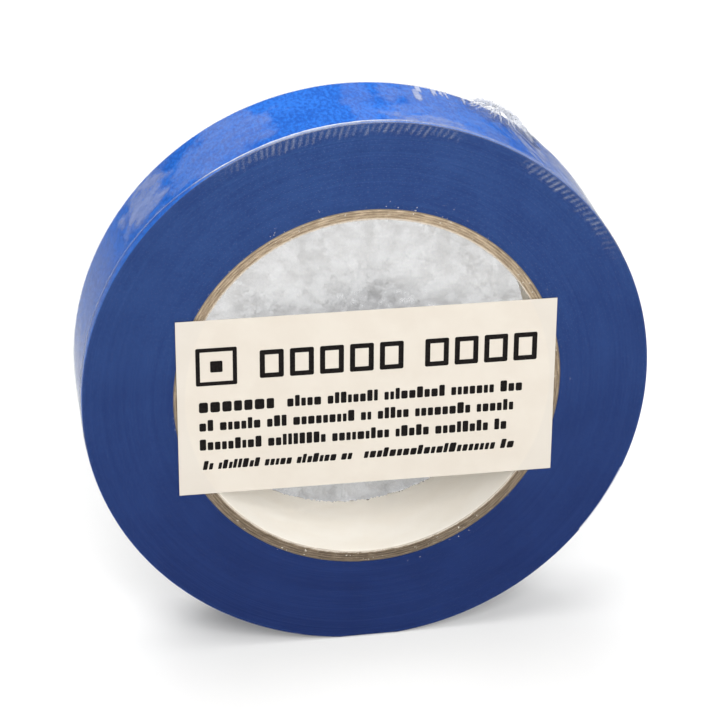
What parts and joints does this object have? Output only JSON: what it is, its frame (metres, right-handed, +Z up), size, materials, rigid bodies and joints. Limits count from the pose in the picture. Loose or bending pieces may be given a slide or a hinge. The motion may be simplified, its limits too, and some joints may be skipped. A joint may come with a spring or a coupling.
{
  "type": "masking tape roll",
  "caption": "Ring-shaped roll of blue masking tape on a paperboard core, shrink-wrapped in clear film, with a rectangular paper label across its front face.",
  "frame": {"origin": "on the surface the roll stands on, directly below the middle of its axis", "axes": "+Z up, +Y along the roll's axis from the labelled face to the back face, +X to the right seen from the label"},
  "size_m": [0.1196, 0.024, 0.1192],
  "materials": {
    "liner_paper": "smooth uncoated white liner paper",
    "core_board": "raw brown paperboard with visible plies",
    "tape_paper": "blue creped paper with a satin face and matt navy cut edges",
    "shrink_film": "clear shrink film, hazy where it lies loose",
    "label_paper": "matt cream paper with black print"
  },
  "bodies": {
    "roll": {"core_liner": "liner_paper", "core_ply_1": "core_board", "core_ply_2": "core_board", "core_ply_3": "core_board", "core_ply_4": "core_board", "tape_winding": "tape_paper", "tape_last_turn": "tape_paper"},
    "front_half_wrap": {"wrap_front": "shrink_film", "label": "label_paper"},
    "back_half_wrap": {"wrap_back": "shrink_film", "wrap_seal": "shrink_film", "wrap_gather": "shrink_film"}
  },
  "joints": [
    {"name": "front_wrap_off", "type": "slide", "parent": "roll", "child": "front_half_wrap", "axis": [0, -1, 0], "range_m": [0, 0.03]},
    {"name": "back_wrap_off", "type": "slide", "parent": "roll", "child": "back_half_wrap", "axis": [0, 1, 0], "range_m": [0, 0.05]}
  ]
}
